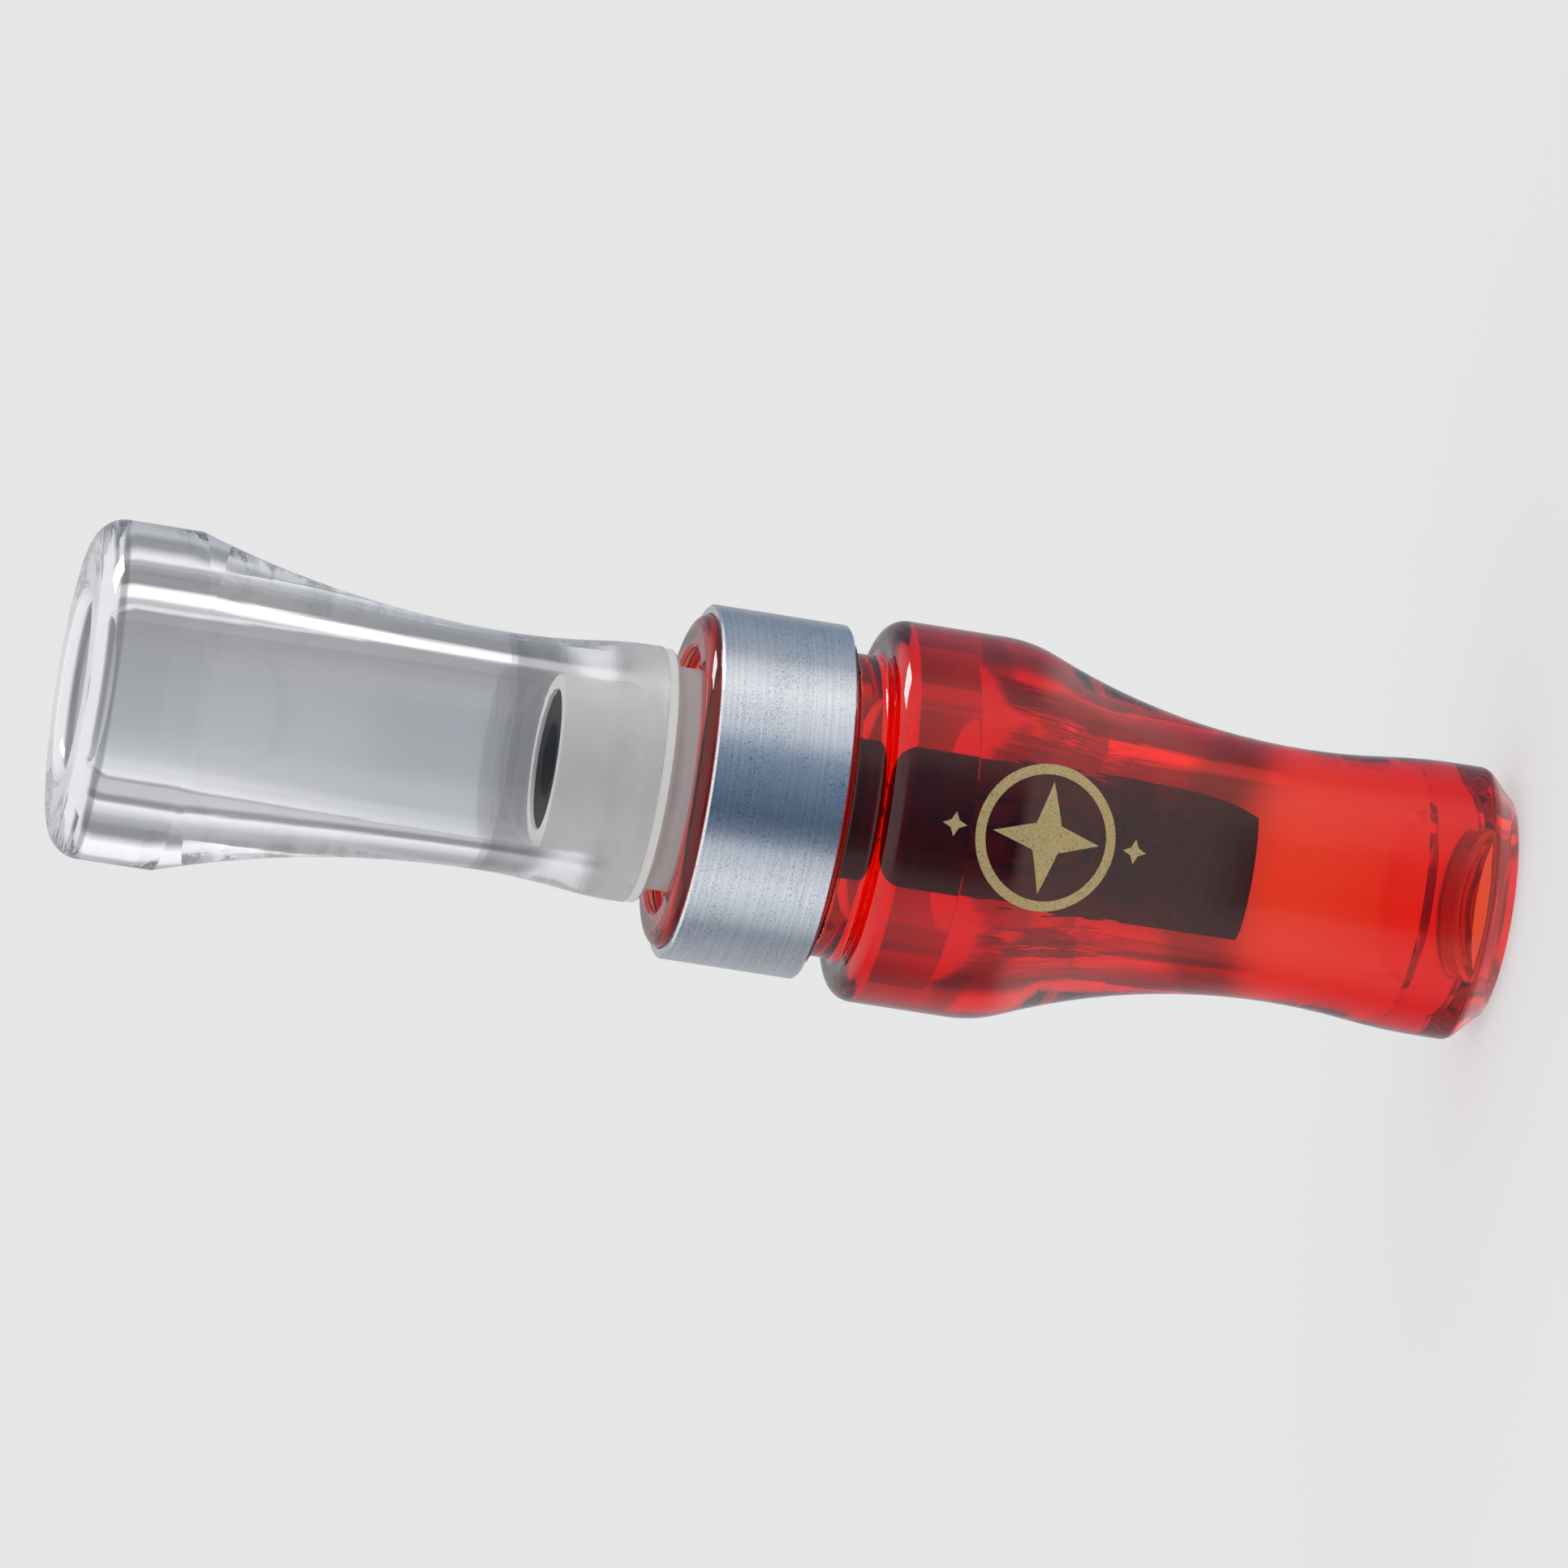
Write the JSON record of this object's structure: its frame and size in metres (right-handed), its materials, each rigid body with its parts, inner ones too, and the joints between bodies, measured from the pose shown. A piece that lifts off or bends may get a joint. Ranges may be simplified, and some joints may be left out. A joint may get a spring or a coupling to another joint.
{
  "type": "duck call",
  "caption": "Two-part acrylic duck call: red waisted barrel with metal band and lanyard groove, clear flared insert, and a reed on a black tone board inside.",
  "frame": {"origin": "centre of the mouthpiece lip's flat face, where the call stands upright", "axes": "+Z along the bore from the mouthpiece to the exhaust end; X and Y are across the bore and equal on the turned pieces, and the printed side of the barrel faces -Y"},
  "size_m": [0.0342, 0.0342, 0.1289],
  "materials": {
    "red_acrylic": "polished, see-through",
    "band_metal": "satin, fine turning lines",
    "clear_acrylic": "polished, clear",
    "frosted_acrylic": "frosted as machined",
    "ring_rubber": "matte",
    "black_plastic": "satin black",
    "reed_film": "satin film",
    "wedge_rubber": "matte"
  },
  "bodies": {
    "barrel": {"barrel": "red_acrylic", "band": "band_metal"},
    "o_rings": {"upper_o_ring": "ring_rubber", "lower_o_ring": "ring_rubber"},
    "insert": {"exhaust_bell": "clear_acrylic", "tenon_sleeve": "frosted_acrylic", "tone_board": "black_plastic", "reed_wedge": "wedge_rubber"},
    "reed": {"reed": "reed_film"}
  },
  "joints": [
    {"name": "insert_pull", "type": "slide", "parent": "barrel", "child": "o_rings", "axis": [0, 0, 1], "range_m": [-0.0014, 0.06]},
    {"name": "insert_twist", "type": "hinge", "parent": "o_rings", "child": "insert", "pos_m": [0, 0, 0.0682], "axis": [0, 0, 1], "continuous": true},
    {"name": "reed_flex", "type": "hinge", "parent": "insert", "child": "reed", "pos_m": [0.0013, 0.00186, 0.0662], "axis": [-0.8192, 0.5736, 0], "range_deg": [-0.8, 1.2], "stiffness_Nm_per_rad": 0.004}
  ]
}
